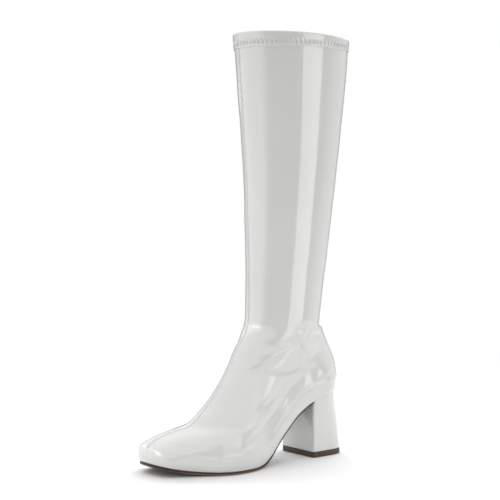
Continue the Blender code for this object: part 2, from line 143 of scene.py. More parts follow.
# Rings of the upper's foot, from the feather line up to the ankle.
# front_along, back_along: shares of BOOT_LENGTH. front_box, front_climb: shares of
# TOE_BOX_HEIGHT and of the rise from toe top to ankle. back_climb: share of ANKLE_RISE.
# outset: share of BALL_WIDTH added to the feather line. foot: how far the ring keeps the
# feather line's form. half: share of BALL_WIDTH, for the part that no longer keeps it.
# nose, tail: share of the ring that rounds each end. twist: degrees towards the inner side.
FOOT_COLUMNS = (
    "front_along", "front_box", "front_climb", "back_along", "back_climb",
    "outset", "foot", "half", "nose", "nose_power", "tail", "tail_power", "twist",
)
FOOT_RINGS = (
    (1.000, 0.00, 0.000, 0.000, 0.00, 0.000, 1.00, 0.40, 0.120, 3.00, 0.125, 2.15, 0.0),
    (1.005, 0.26, 0.000, -0.002, 0.09, 0.020, 1.00, 0.40, 0.125, 3.00, 0.130, 2.15, 0.0),
    (0.998, 0.56, 0.000, -0.011, 0.20, 0.020, 1.00, 0.40, 0.140, 2.80, 0.140, 2.10, 0.0),
    (0.955, 0.93, 0.000, -0.011, 0.32, -0.004, 0.95, 0.40, 0.200, 2.40, 0.160, 2.05, 0.0),
    (0.885, 1.00, 0.058, -0.001, 0.44, -0.020, 0.88, 0.40, 0.280, 2.10, 0.190, 2.00, 0.0),
    (0.810, 1.00, 0.112, 0.018, 0.55, -0.034, 0.78, 0.40, 0.340, 1.90, 0.240, 2.00, 0.5),
    (0.744, 1.00, 0.222, 0.040, 0.65, -0.050, 0.62, 0.39, 0.380, 1.80, 0.300, 2.00, 1.5),
    (0.680, 1.00, 0.350, 0.058, 0.73, -0.050, 0.45, 0.39, 0.430, 1.70, 0.370, 2.00, 3.0),
    (0.616, 1.00, 0.510, 0.073, 0.80, -0.050, 0.28, 0.39, 0.460, 1.70, 0.430, 2.00, 4.0),
    (0.548, 1.00, 0.725, 0.086, 0.86, -0.050, 0.12, 0.40, 0.480, 1.75, 0.460, 2.00, 5.0),
)

# Rings of the shaft, from the ankle to the collar.
# rise: share of SHAFT_LENGTH. front, back: shares of COLLAR_LENGTH from COLLAR_CENTRE.
# half: share of COLLAR_WIDTH. drop: share of COLLAR_DROP that the back is lower.
SHAFT_COLUMNS = ("rise", "front", "back", "half", "drop", "twist")
SHAFT_RINGS = (
    (0.00, 0.428, 0.230, 0.321, 1.4, 7.0),   # ankle
    (0.15, 0.412, 0.276, 0.340, 1.2, 9.0),   # above the ankle
    (0.40, 0.411, 0.354, 0.382, 1.0, 12.0),  # low calf
    (0.65, 0.438, 0.424, 0.430, 1.0, 13.0),  # calf
    (0.85, 0.473, 0.475, 0.473, 1.0, 12.0),  # high calf
    (1.00, 0.500, 0.500, 0.500, 1.0, 11.0),  # collar
)

# Folds of the stretch patent over the ankle and the forefoot.
# side: 1 outer, which the photo shows, -1 inner. height: millimetres out of the surface,
# so a trough is negative. above, below: millimetres that its two flanks reach.
# line: places as shares of BOOT_LENGTH ahead of the heel and of the ankle's height.
FOLD_COLUMNS = ("side", "height", "above", "below", "line")
FOLDS = (
    # Where the shaft breaks over the foot
    (1, -1.2, 6.0, 3.5,
     ((0.56, 0.830), (0.50, 0.826), (0.45, 0.824), (0.38, 0.828), (0.34, 0.860))),
    (1, 0.8, 4.5, 6.0, ((0.51, 0.765), (0.46, 0.772), (0.40, 0.788), (0.35, 0.815))),
    (-1, -1.2, 5.5, 3.5,
     ((0.54, 0.840), (0.47, 0.825), (0.40, 0.815), (0.33, 0.835), (0.28, 0.880))),
    (-1, 0.6, 4.5, 5.5, ((0.50, 0.770), (0.44, 0.760), (0.37, 0.765))),
    # Round the ankle
    (1, -1.4, 1.7, 2.6,
     ((0.56, 0.640), (0.51, 0.681), (0.455, 0.719), (0.395, 0.763), (0.345, 0.812),
      (0.315, 0.885))),
    (1, 0.4, 4.5, 4.0, ((0.51, 0.625), (0.45, 0.668), (0.385, 0.705), (0.325, 0.735))),
    (1, -1.4, 1.9, 1.8,
     ((0.58, 0.668), (0.53, 0.663), (0.44, 0.648), (0.36, 0.632), (0.305, 0.648), (0.262, 0.690),
      (0.235, 0.750))),
    (1, -0.9, 1.6, 1.6, ((0.330, 0.900), (0.295, 0.830), (0.255, 0.765), (0.226, 0.700))),
    (1, -0.9, 1.6, 1.6, ((0.245, 0.910), (0.275, 0.840), (0.300, 0.765), (0.312, 0.690))),
    (1, 1.0, 3.5, 3.5, ((0.270, 0.920), (0.300, 0.895), (0.325, 0.905))),
    (1, 0.7, 5.0, 7.0, ((0.240, 0.730), (0.222, 0.660), (0.208, 0.580), (0.205, 0.520))),
    (-1, -1.4, 4.0, 5.5,
     ((0.55, 0.660), (0.49, 0.690), (0.42, 0.710), (0.35, 0.760), (0.30, 0.840))),
    (-1, -1.1, 4.5, 4.5, ((0.46, 0.610), (0.39, 0.620), (0.32, 0.650), (0.26, 0.700))),
    (-1, 0.6, 5.0, 6.0, ((0.250, 0.740), (0.225, 0.660), (0.215, 0.560))),
    # Over the instep and the forefoot
    (1, -0.9, 4.0, 6.0,
     ((0.69, 0.140), (0.607, 0.219), (0.501, 0.302), (0.426, 0.384), (0.36, 0.490), (0.31, 0.590))),
    (1, -0.9, 3.0, 1.6, ((0.720, 0.335), (0.684, 0.316), (0.645, 0.326), (0.600, 0.355))),
    (1, 0.5, 2.0, 3.0, ((0.715, 0.300), (0.680, 0.288), (0.640, 0.300), (0.600, 0.325))),
    (1, -0.25, 3.0, 3.0, ((0.600, 0.358), (0.540, 0.395), (0.480, 0.440), (0.420, 0.505))),
    (-1, -1.0, 5.5, 7.0,
     ((0.66, 0.200), (0.58, 0.260), (0.49, 0.340), (0.41, 0.440), (0.35, 0.560))),
    (-1, -0.6, 2.5, 2.5, ((0.73, 0.300), (0.69, 0.290), (0.65, 0.310))),
    # Gathers at the back seam
    (1, -0.9, 2.4, 2.4, ((0.215, 0.905), (0.185, 0.880), (0.155, 0.885))),
    (1, 0.7, 2.4, 2.4, ((0.220, 0.870), (0.190, 0.845), (0.150, 0.840))),
    (-1, -0.9, 2.4, 2.4, ((0.215, 0.900), (0.185, 0.875), (0.155, 0.880))),
)

# Camera, in the place that the photo was taken from
CAMERA_PLACE = (1.0163, -0.9129, 0.2772)
CAMERA_AZIMUTH, CAMERA_PITCH = 51.0, 2.37
CAMERA_LENS = 90.4


def smooth(table, column, key, at):
    """Monotone cubic through a table's rows: column as a function of key."""
    order = np.argsort([row[key] for row in table])
    xs = np.array([table[i][key] for i in order], float)
    ys = np.array([table[i][column] for i in order], float)
    runs = np.diff(xs)
    slopes = np.diff(ys) / runs
    tangents = np.empty(len(xs))
    tangents[0], tangents[-1] = slopes[0], slopes[-1]
    before, after = slopes[:-1], slopes[1:]
    weight_a, weight_b = 2 * runs[1:] + runs[:-1], runs[1:] + 2 * runs[:-1]
    same_way = before * after > 0
    safe_before = np.where(same_way, before, 1.0)
    safe_after = np.where(same_way, after, 1.0)
    mean = (weight_a + weight_b) / (weight_a / safe_before + weight_b / safe_after)
    tangents[1:-1] = np.where(same_way, mean, 0.0)
    at = np.clip(np.asarray(at, float), xs[0], xs[-1])
    i = np.clip(np.searchsorted(xs, at, side="right") - 1, 0, len(runs) - 1)
    run = runs[i]
    t = (at - xs[i]) / run
    return (
        (2 * t**3 - 3 * t**2 + 1) * ys[i]
        + (t**3 - 2 * t**2 + t) * run * tangents[i]
        + (3 * t**2 - 2 * t**3) * ys[i + 1]
        + (t**3 - t**2) * run * tangents[i + 1]
    )


def rows(columns, table):
    """The rows of a table, each as a dictionary with the columns' names."""
    return [dict(zip(columns, row)) for row in table]


FEATHER_ROWS = rows(FEATHER_COLUMNS, FEATHER)


def y_at(along):
    """Y of a place given as a share of the boot's length ahead of the heel's back."""
    return SEAT_BACK - along * BOOT_LENGTH


def along_at(y):
    """Share of the boot's length ahead of the heel's back, from Y."""
    return (SEAT_BACK - np.asarray(y, float)) / BOOT_LENGTH


def feather_height(y):
    """Height of the feather line, which is also the top of the outsole and heel."""
    along = along_at(y)
    spring = smooth(FEATHER_ROWS, "spring", "along", along) * TOE_SPRING
    climb = smooth(FEATHER_ROWS, "climb", "along", along) * (HEEL_HEIGHT - SOLE_THICKNESS)
    return SOLE_THICKNESS + spring + climb


def clear_of_feather(y, distance):
    """Height of a face that keeps a distance, square to it, above the feather line."""
    reach = BOOT_LENGTH / 400
    slope = (feather_height(y + reach) - feather_height(y - reach)) / (2 * reach)
    return feather_height(y) + distance * np.hypot(1.0, slope)


def feather_centre(y):
    """X of the middle of the feather line."""
    return smooth(FEATHER_ROWS, "centre", "along", along_at(y)) * BALL_WIDTH


def feather_half(y):
    """Half width between the feather line's two sides."""
    return smooth(FEATHER_ROWS, "half", "along", along_at(y)) * BALL_WIDTH


def cap(distance, power):
    """Rounds an end off: 0 at the end, 1 from a distance of 1 on."""
    inward = 1.0 - np.clip(distance, 0.0, 1.0)
    return np.maximum(1.0 - inward**power, 0.0) ** (1.0 / power)


def foot_outline(inset, share):
    """Y, centre and half width of the feather line moved inwards by inset."""
    front, back = y_at(1.0) + inset, y_at(0.0) - inset
    near_front = np.clip(1.0 - share / END_SHARE, 0.0, 1.0) ** 2
    near_back = np.clip(1.0 - (1.0 - share) / END_SHARE, 0.0, 1.0) ** 2
    y = y_at(1.0) + (y_at(0.0) - y_at(1.0)) * share + inset * (near_front - near_back)
    nose = cap((y - front) / (TOE_CAP * BOOT_LENGTH - inset), TOE_SQUARENESS)
    tail = cap((back - y) / (SEAT_CAP * BOOT_LENGTH - inset), SEAT_SQUARENESS)
    return y, feather_centre(y), (feather_half(y) - inset) * nose * tail


def ring_rows():
    """One list of rows, feather line to collar, with lengths worked out in metres."""
    ankle = HEEL_HEIGHT + ANKLE_RISE
    found = []
    for row in rows(FOOT_COLUMNS, FOOT_RINGS):
        box = float(feather_height(y_at(min(row["front_along"], 1.0))))
        low_front = box + row["front_box"] * TOE_BOX_HEIGHT
        climb = row["front_climb"]
        ring = {name: row[name] for name in ("foot", "nose", "nose_power", "tail", "tail_power")}
        ring.update(
            front=y_at(row["front_along"]),
            front_z=low_front * (1 - climb) + climb * ankle if climb else low_front,
            back=y_at(row["back_along"]),
            back_z=HEEL_HEIGHT + row["back_climb"] * ANKLE_RISE,
            outset=row["outset"] * BALL_WIDTH,
            half=row["half"] * BALL_WIDTH,
            twist=math.radians(row["twist"]),
        )
        found.append(ring)
    for row in rows(SHAFT_COLUMNS, SHAFT_RINGS):
        height = ankle + row["rise"] * SHAFT_LENGTH
        ring = dict(foot=0.0, outset=0.0, nose=0.5, tail=0.5)
        ring.update(
            nose_power=SEAM_POINT,
            tail_power=SEAM_POINT,
            front=COLLAR_CENTRE - row["front"] * COLLAR_LENGTH,
            front_z=height,
            back=COLLAR_CENTRE + row["back"] * COLLAR_LENGTH,
            back_z=height - row["drop"] * COLLAR_DROP,
            half=row["half"] * COLLAR_WIDTH,
            twist=math.radians(row["twist"]),
        )
        found.append(ring)
    for place, row in enumerate(found):
        row["place"] = place
    return found


RINGS = ring_rows()


def ring_at(place):
    """The ring between two rows of the table, at a place counted in rows."""
    names = [name for name in RINGS[0] if name != "place"]
    return {name: float(smooth(RINGS, name, "place", place)) for name in names}


def ring_points(ring, share, side):
    """Points of one side of a ring, front to back. side is 1 outside, -1 inside."""
    foot = ring["foot"]
    length = ring["back"] - ring["front"]
    y = ring["front"] + length * share
    half = foot * (feather_half(y) + ring["outset"]) + (1 - foot) * ring["half"]
    half = half * cap((y - ring["front"]) / length / ring["nose"], ring["nose_power"])
    half = half * cap((ring["back"] - y) / length / ring["tail"], ring["tail_power"])
    centre = foot * feather_centre(y)
    ends = feather_height(np.array([ring["front"], ring["back"]]))
    chord = ends[0] + (ends[1] - ends[0]) * share
    lift_front, lift_back = ring["front_z"] - ends[0], ring["back_z"] - ends[1]
    lift = lift_front + (lift_back - lift_front) * share
    z = foot * feather_height(y) + (1 - foot) * chord + lift
    x = centre + side * half
    middle = (ring["front"] + ring["back"]) / 2
    turn_cos, turn_sin = math.cos(ring["twist"]), math.sin(ring["twist"])
    turned_x = x * turn_cos + (y - middle) * turn_sin
    turned_y = middle - x * turn_sin + (y - middle) * turn_cos
    return np.stack([turned_x, turned_y, z], axis=1)


def whole_ring(sides):
    """One closed ring from its outer and inner side, both given front to back."""
    outer, inner = sides
    return np.concatenate([outer, inner[-2:0:-1]])


def ring_loop(place, share):
    """The closed ring at a place in the table."""
    ring = ring_at(place)
    return whole_ring([ring_points(ring, share, side) for side in (1, -1)])


def flat_loop(inset, height, share):
    """A closed ring under the foot: the feather line moved inwards, at a height."""
    y, centre, half = foot_outline(inset, share)
    return whole_ring([np.stack([centre + s * half, y, height(y)], axis=1) for s in (1, -1)])


def seam_shares(count):
    """Shares along a ring, closer together beside the seams at its two ends."""
    beside = np.array(BESIDE_SEAM)
    steps = np.concatenate([np.arange(count + 1), beside, count - beside])
    return (1 - np.cos(math.pi * np.unique(steps) / count)) / 2


def ring_places(foot_steps, shaft_steps):
    """Places in the table of rings, counted in rows, at which rings are made."""
    counts = [foot_steps] * len(FOOT_RINGS) + list(shaft_steps)
    places = [row + np.arange(count) / count for row, count in enumerate(counts)]
    return np.concatenate(places + [np.array([len(counts)])])


def grid_normals(grid):
    """Unit normals out of a grid of closed rings."""
    around = np.roll(grid, -1, axis=1) - np.roll(grid, 1, axis=1)
    along = np.gradient(grid, axis=0)
    normals = np.cross(around, along)
    normals /= np.maximum(np.linalg.norm(normals, axis=2, keepdims=True), 1e-12)
    away = grid[-1] - grid[-1].mean(axis=0)
    return normals * np.sign((normals[-1] * away).sum())


def fold_line(line):
    """Y and Z of places along a fold, on a smooth curve through its points."""
    ankle = HEEL_HEIGHT + ANKLE_RISE
    points = np.array([(y_at(along), rise * ankle) for along, rise in line])
    run = np.concatenate([[0.0], np.cumsum(np.hypot(*np.diff(points, axis=0).T))])
    table = [{"run": r, "y": y, "z": z} for r, (y, z) in zip(run, points)]
    at = np.linspace(0.0, run[-1], FOLD_SAMPLES)
    return np.stack([smooth(table, name, "run", at) for name in ("y", "z")], axis=1)


def fold_relief(points, sideways):
    """Height of all folds at the points. sideways: -1 inner side to 1 outer side."""
    relief = np.zeros(len(points))
    flat = points[:, 1:]
    for fold in rows(FOLD_COLUMNS, FOLDS):
        line = fold_line(fold["line"])
        reach = 3 * max(fold["above"], fold["below"]) / 1000
        near = (flat > line.min(axis=0) - reach).all(axis=1)
        near &= (flat < line.max(axis=0) + reach).all(axis=1)
        near &= sideways * fold["side"] > 0.0
        away = flat[near][:, None, :] - line[None, :, :]
        distance = np.hypot(away[..., 0], away[..., 1])
        nearest = distance.argmin(axis=1)
        each = np.arange(len(nearest))
        offset = away[each, nearest]
        heading = np.gradient(line, axis=0)[nearest]
        turned = heading[:, 0] * offset[:, 1] - heading[:, 1] * offset[:, 0]
        width = np.where(turned > 0, fold["above"], fold["below"]) / 1000
        square = (distance[each, nearest] / width) ** 2
        across = np.exp(-square) * (1 - FOLD_BANK * square)
        ends = np.sin(math.pi * nearest / (FOLD_SAMPLES - 1)) ** FOLD_TAPER
        fade = np.clip(sideways[near] * fold["side"] / FOLD_FADE, 0.0, 1.0)
        relief[near] += fold["height"] / 1000 * across * ends * fade**2 * (3 - 2 * fade)
    return relief


def slow_waves(points):
    """The faint unevenness that keeps a long reflection from being ruler straight."""
    waves = np.zeros(len(points))
    for height, phase, turns in WAVES:
        waves += height / 1000 * np.sin(points @ np.array(turns, float) + phase)
    return waves


def seam_relief(across, run, height):
    """Groove of a seam, the two ridges beside it and the gathers that its thread makes.

    across: distance from the seam. run: distance along it. height: share of the boot's.
    """
    groove = -SEAM_GROOVE * np.exp(-((across / SEAM_GROOVE_WIDTH) ** 2))
    ridge = SEAM_RIDGE * np.exp(-(((across - SEAM_RIDGE_AT) / SEAM_RIDGE_WIDTH) ** 2))
    strength = GATHER_ALL_ALONG
    for at, spread, more in GATHER_PLACES:
        strength = strength + more * np.exp(-(((height - at) / spread) ** 2))
    beat = 0.5 + 0.5 * np.sin(2 * math.pi * run / GATHER_PITCH + 1.5 * np.sin(run * 90))
    gathers = -GATHER * strength * beat * np.exp(-((across / GATHER_WIDTH) ** 2))
    return groove + ridge + gathers


def upper_relief(grid, share):
    """Folds, seams and slow waves of the upper, in metres out of its surface."""
    spread = 2 * np.sqrt(np.clip(share * (1 - share), 0.0, None))
    sideways = np.concatenate([spread, -spread[-2:0:-1]])
    flat = grid.reshape(-1, 3)
    relief = fold_relief(flat, np.tile(sideways, len(grid))) + slow_waves(flat)
    relief = relief.reshape(grid.shape[:2])
    height = grid[..., 2] / grid[..., 2].max()
    size = grid.shape[1]
    for start in (0, size // 2):
        turned = np.roll(grid, -start, axis=1)
        steps = np.linalg.norm(np.roll(turned, -1, axis=1) - turned, axis=2)
        forward = np.cumsum(steps, axis=1) - steps
        across = np.minimum(forward, steps.sum(axis=1, keepdims=True) - forward)
        climb = np.linalg.norm(np.diff(grid[:, start], axis=0), axis=1)
        run = np.concatenate([[0.0], np.cumsum(climb)])[:, None]
        relief += seam_relief(np.roll(across, start, axis=1), run, height)
    return relief


def upper_grid(share, places, depth=0.0):
    """Rings of the upper with their relief, at a depth inside its outer face."""
    grid = np.array([ring_loop(place, share) for place in places])
    fade = np.clip(places - 1.0, 0.0, 1.0)[:, None]
    relief = upper_relief(grid, share) * fade
    return grid + grid_normals(grid) * (relief - depth)[..., None]


def grid_faces(ring_count, ring_size, closed=False):
    """Quads between neighbouring rings. closed joins the last ring to the first."""
    i = np.arange(ring_count if closed else ring_count - 1)[:, None]
    j = np.arange(ring_size)[None, :]
    up, over = (i + 1) % ring_count, (j + 1) % ring_size
    quads = (i * ring_size + j, i * ring_size + over, up * ring_size + over, up * ring_size + j)
    return np.stack(np.broadcast_arrays(*quads), axis=2).reshape(-1, 4).tolist()


def across_faces(start, ring_size, shift):
    """Closes a ring across, from each point of one side to its partner on the other.

    shift: 0 where the ring's first point is its own partner, 1 where that is its last point.
    """
    faces = []
    for j in range(ring_size // 2):
        partner = ring_size - j - shift
        quad = (j, j + 1, (partner - 1) % ring_size, partner % ring_size)
        corners = list(dict.fromkeys(quad))
        if len(corners) > 2:
            faces.append([start + n for n in corners])
    return faces


def new_piece(name, points, faces, material, sharp=50):
    """A mesh piece that rides on the boot, with the material that it is given."""
    mesh = bpy.data.meshes.new(name)
    mesh.from_pydata(np.asarray(points).tolist(), [], faces)
    mesh.validate()
    mesh.shade_smooth()
    mesh.set_sharp_from_angle(angle=math.radians(sharp))
    mesh.materials.append(material)
    piece = bpy.data.objects.new(name, mesh)
    bpy.context.scene.collection.objects.link(piece)
    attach(piece, "root")
    return piece


def slab(name, layers, material, shift=0):
    """A closed piece of stacked rings, closed across at its first and last ring."""
    size = len(layers[0])
    faces = grid_faces(len(layers), size)
    for start in (0, (len(layers) - 1) * size):
        faces += across_faces(start, size, shift)
    return new_piece(name, np.concatenate(layers), faces, material, 40)


def build_upper_skin(material):
    """The patent outer face, from under the foot up behind the hem."""
    share = seam_shares(HALF_STATIONS)
    places = ring_places(FOOT_STEPS, SHAFT_STEPS)
    grid = upper_grid(share, places)
    grid = grid[places > SKIN_START]
    grid = grid[grid[-1, 0, 2] - grid[:, 0, 2] > HEM_HEIGHT * SKIN_END]
    turned = [flat_loop(LASTING_MARGIN, feather_height, share)]
    for angle in np.radians(TURN_ANGLES):
        inset = FEATHER_ROUND * (1 - math.sin(angle))
        rise = FEATHER_ROUND * (1 - math.cos(angle))
        turned.append(flat_loop(inset, lambda y, rise=rise: feather_height(y) + rise, share))
    rings = np.concatenate([turned, grid])
    faces = grid_faces(rings.shape[0], rings.shape[1])
    skin = new_piece("upper_skin", rings.reshape(-1, 3), faces, material, 60)
    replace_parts(skin, "upper")


def build_lining(material):
    """The fabric inside, from under the footbed up to the hem's facing."""
    share = seam_shares(LINING_STATIONS)
    places = ring_places(LINING_FOOT_STEPS, LINING_SHAFT_STEPS)
    grid = upper_grid(share, places, WALL)
    grid = grid[places > LINING_START]
    grid = grid[grid[-1, 0, 2] - grid[:, 0, 2] > HEM_HEIGHT * LINING_END]
    low = []
    for inset in (LASTING_MARGIN, WALL):
        low.append(flat_loop(inset, lambda y: clear_of_feather(y, WALL), share))
    rings = np.concatenate([low, grid])
    faces = [face[::-1] for face in grid_faces(rings.shape[0], rings.shape[1])]
    new_piece("lining", rings.reshape(-1, 3), faces, material)


def between_rings(rings, level):
    """A ring of which every point lies at its own level, counted in rings."""
    low = np.clip(level.astype(int), 0, len(rings) - 2)
    part = (level - low)[:, None]
    each = np.arange(len(level))
    return rings[low, each] * (1 - part) + rings[low + 1, each] * part


def collar_bands(profile, count):
    """Rings of evenly spaced points near the collar, closer together where the hem is lower.

    profile: pairs of the drop below the collar, at its front, and how far the ring stands out.
    """
    last = len(RINGS) - 1
    places = np.linspace(last - 1, last, 60)
    heights = np.array([ring_at(place)["front_z"] for place in places])
    share = seam_shares(COLLAR_STATIONS)
    levels = np.linspace(0.0, HEM_HEIGHT * 1.2, COLLAR_LEVELS)
    loops = []
    for drop in levels:
        loop = ring_loop(np.interp(heights[-1] - drop, heights, places), share)
        closed = np.concatenate([loop, loop[:1]])
        steps = np.linalg.norm(np.diff(closed, axis=0), axis=1)
        run = np.concatenate([[0.0], np.cumsum(steps)])
        at = np.arange(count) / count * run[-1]
        loops.append(np.stack([np.interp(at, run, closed[:, axis]) for axis in range(3)], axis=1))
    loops = np.array(loops)
    # The hem's lower edge is level while the collar drops to the back
    hem_share = 1 - (loops[0, :, 2].max() - loops[0, :, 2]) / HEM_HEIGHT
    bands = []
    for drop, out in profile:
        even = between_rings(loops, drop * hem_share / levels[1])
        ahead = np.roll(even, -1, axis=0) - np.roll(even, 1, axis=0)
        outward = np.stack([ahead[:, 1], -ahead[:, 0], np.zeros(count)], axis=1)
        outward /= np.linalg.norm(outward, axis=1)[:, None]
        outward *= np.sign((outward * (even - even.mean(axis=0))).sum())
        bands.append(even + outward * (out + np.zeros(count))[:, None])
    return np.array(bands)


def stitch_count():
    """Whole number of zigzags round the collar."""
    loop = collar_bands([(0.0, 0.0)], 400)[0]
    around = np.linalg.norm(np.roll(loop, -1, axis=0) - loop, axis=1).sum()
    return int(round(around / STITCH_PITCH))


def build_hem(material):
    """The turned hem: a band with a rounded top, drawn in a little by each stitch."""
    stitches = stitch_count()
    count = stitches * STEPS_PER_STITCH
    step = HEM_WALL - WALL
    radius = HEM_WALL / 2
    phase = 2 * math.pi * np.arange(count) / STEPS_PER_STITCH
    arc = np.arange(count) / count
    seam = np.minimum(np.minimum(arc, 1 - arc), abs(arc - 0.5)) * stitches * STITCH_PITCH
    join = HEM_JOIN_RIDGE * np.exp(-(((seam - SEAM_RIDGE_AT) / SEAM_RIDGE_WIDTH) ** 2))
    join -= HEM_JOIN_GROOVE * np.exp(-((seam / SEAM_GROOVE_WIDTH) ** 2))

    def drawn_in(above_edge):
        middle = (STITCH_LOW + STITCH_HIGH) / 2
        stitched = math.exp(-(((above_edge - middle) / HEM_RIPPLE_REACH) ** 4))
        lean = math.pi * min(max((above_edge - STITCH_LOW) / (STITCH_HIGH - STITCH_LOW), 0), 1)
        return -HEM_RIPPLE * stitched * (1 - np.cos(phase + lean)) + join

    profile = [(HEM_HEIGHT, -0.0003), (HEM_HEIGHT, step * 0.25)]
    for above_edge in np.arange(0.0008, HEM_HEIGHT - radius - 0.0006, HEM_RING_STEP):
        flat = 1 - HEM_FLATTENED * math.exp(-above_edge / HEM_FLATTENED_REACH)
        profile.append((HEM_HEIGHT - above_edge, step * flat + drawn_in(above_edge)))
    for angle in np.linspace(0.0, math.pi, 9):
        out = step - radius * (1 - math.cos(angle))
        profile.append((radius * (1 - math.sin(angle)), out + join * (angle < 2.0)))
    facing, inside = HEM_HEIGHT + HEM_FACING, -WALL - HEM_FACING_PROUD
    profile += [(0.003, inside), (facing, inside), (facing, -WALL * 0.6)]
    bands = collar_bands(profile, count)
    faces = grid_faces(bands.shape[0], count, closed=True)
    new_piece("collar_hem", bands.reshape(-1, 3), faces, material)


def build_hem_stitches(material):
    """One zigzag thread round the hem, dipping into it at each turn."""
    count = stitch_count() * THREAD_STEPS_PER_STITCH
    phase = np.arange(count) / THREAD_STEPS_PER_STITCH % 1.0
    swing = np.where(phase < 0.5, phase * 2, 2 - phase * 2)
    levels = 7
    drops = np.linspace(HEM_HEIGHT - STITCH_HIGH, HEM_HEIGHT - STITCH_LOW, levels)
    bands = collar_bands([(drop, 0.0) for drop in drops], count)
    path = between_rings(bands, (1 - swing) * (levels - 1))
    radial = path - path.mean(axis=0)
    radial[:, 2] = 0.0
    radial /= np.linalg.norm(radial, axis=1)[:, None]
    dip = np.abs(np.cos(math.pi * swing)) ** 8
    out = HEM_WALL - WALL - HEM_RIPPLE + THREAD_RADIUS * (0.7 - 1.7 * dip)
    path = path + radial * out[:, None]
    ahead = np.roll(path, -1, axis=0) - np.roll(path, 1, axis=0)
    ahead /= np.linalg.norm(ahead, axis=1)[:, None]
    side = np.cross(ahead, radial)
    loops = []
    for angle in np.arange(THREAD_SIDES) * 2 * math.pi / THREAD_SIDES:
        loops.append(path + THREAD_RADIUS * (math.cos(angle) * radial + math.sin(angle) * side))
    faces = grid_faces(THREAD_SIDES, count, closed=True)
    new_piece("hem_stitches", np.concatenate(loops), faces, material, 80)


def breast_y(rise):
    """Y of the heel's flat front face at a height given as a share of the heel."""
    return -HEEL_LENGTH / 2 + HEEL_BREAST_LEAN * rise


def heel_half(y, rise, back):
    """Half width of the heel: squarish at the floor, the feather line's own at its top."""
    length = back - breast_y(rise)
    at_floor = HEEL_WIDTH / 2 * cap((back - y) / (length * HEEL_BACK_CAP), HEEL_SQUARENESS)
    at_seat = feather_half(y) - HEEL_SEAT_INSET
    at_seat = at_seat * cap((back - y) / (SEAT_CAP * BOOT_LENGTH), SEAT_SQUARENESS)
    return at_floor + (at_seat - at_floor) * rise


def heel_layer(rise, height, inset=0.0):
    """Ring of the heel at a share of its height, with both breast corners rounded."""
    back = HEEL_LENGTH / 2 + (y_at(0.0) - HEEL_SEAT_INSET - HEEL_LENGTH / 2) * rise
    corner_y = breast_y(rise) + HEEL_CORNER
    y = corner_y + (back - corner_y) * np.sin(np.linspace(0.0, math.pi / 2, 61))
    half = heel_half(y, rise, back)
    bend = np.linspace(0.0, math.pi / 2, 13)[:-1]
    y = np.concatenate([corner_y - HEEL_CORNER * np.cos(bend), y])
    half = np.concatenate([half[0] - HEEL_CORNER * (1 - np.sin(bend)), half])
    middle = (back + breast_y(rise)) / 2
    y = middle + (y - middle) * (1 - inset / (back - middle))
    half = half * (1 - inset / (HEEL_WIDTH / 2))
    z = height(y)
    outer = np.stack([half, y, z], axis=1)
    inner = np.stack([-half, y, z], axis=1)
    return np.concatenate([outer, inner[-2::-1]])


def build_heel(material):
    """The covered block, its cover turned under at the tip."""
    floor = TOP_PIECE_THICKNESS

    def level(rise):
        return lambda y: floor + (feather_height(y) - floor) * rise

    layers = [heel_layer(0.0, level(0.0), 0.0006), heel_layer(0.0, level(0.003), 0.0002)]
    layers += [heel_layer(rise, level(rise)) for rise in np.linspace(0.01, 1.0, 34)]
    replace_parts(slab("heel_cover", layers, material, 1), "heel_block")


def build_tip(material):
    """The rubber tip, with its edges eased."""
    profile = [(0.0, 0.0006), (0.0003, TOP_PIECE_INSET)]
    profile += [(TOP_PIECE_THICKNESS - 0.0003, TOP_PIECE_INSET), (TOP_PIECE_THICKNESS, 0.0005)]
    layers = []
    for z, inset in profile:
        layers.append(heel_layer(0.0, lambda y, z=z: np.full(len(y), z), inset))
    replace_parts(slab("heel_tip", layers, material, 1), "top_piece")


def sole_depth(y):
    """Outsole thickness: full under the forefoot, thin under the arch."""
    lift = (feather_height(y) - SOLE_THICKNESS) / (HEEL_HEIGHT - SOLE_THICKNESS)
    arch = np.clip(lift / WAIST_LIFT, 0.0, 1.0) * (along_at(y) < WAIST_START)
    return SOLE_THICKNESS + (WAIST_THICKNESS - SOLE_THICKNESS) * arch


def sole_layer(inset, share_down, share):
    """Ring of the outsole from the toe back to the heel breast, at a share of its depth."""
    end = breast_y(1.0)
    kept = share < (end - y_at(1.0)) / BOOT_LENGTH - 0.002
    y, centre, half = foot_outline(inset, share)
    half = np.append(half[kept], np.interp(end, y, half))
    centre = np.append(centre[kept], feather_centre(end))
    y = np.append(y[kept], end)
    z = clear_of_feather(y, -sole_depth(y) * share_down)
    outer = np.stack([centre + half, y, z], axis=1)
    inner = np.stack([centre - half, y, z], axis=1)
    return np.concatenate([outer, inner[:0:-1]])


def build_sole(painted_light_band_material, painted_shade_band_material):
    """The sole edge in two bands, lit and shaded copies of one colour: a dark upper band of painted
    shade, and a lighter lower band of painted light from the floor.
    """
    share = (1 - np.cos(math.pi * np.linspace(0.0, 1.0, 161))) / 2
    # Share of the sole's depth, and how far inside SOLE_INSET
    painted_shade_band = [(0.0, 0.0004), (0.04, 0.0), (0.42, 0.0), (0.46, 0.0004)]
    edge = [(0.46, 0.0006), (0.50, 0.0001), (0.85, 0.0001), (0.95, 0.0005), (1.0, 0.0014)]
    # The upper band carries the painted shade, the lower band the painted light from the floor
    pieces = (("sole_painted_shade_band", painted_shade_band, painted_shade_band_material), ("sole", edge, painted_light_band_material))
    for name, profile, material in pieces:
        layers = [sole_layer(SOLE_INSET + inward, down, share) for down, inward in profile]
        piece = slab(name, layers, material)
        if name == "sole":
            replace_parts(piece, "outsole")


def shader_of(material):
    """The material's one shader."""
    return material.node_tree.nodes["Principled BSDF"]


def node(material, kind, **settings):
    """A node with its settings. From_Min, for one, sets an input called From Min."""
    made = material.node_tree.nodes.new(kind)
    for name, value in settings.items():
        socket = name.replace("_", " ")
        if socket in made.inputs:
            made.inputs[socket].default_value = value
        else:
            setattr(made, name, value)
    return made


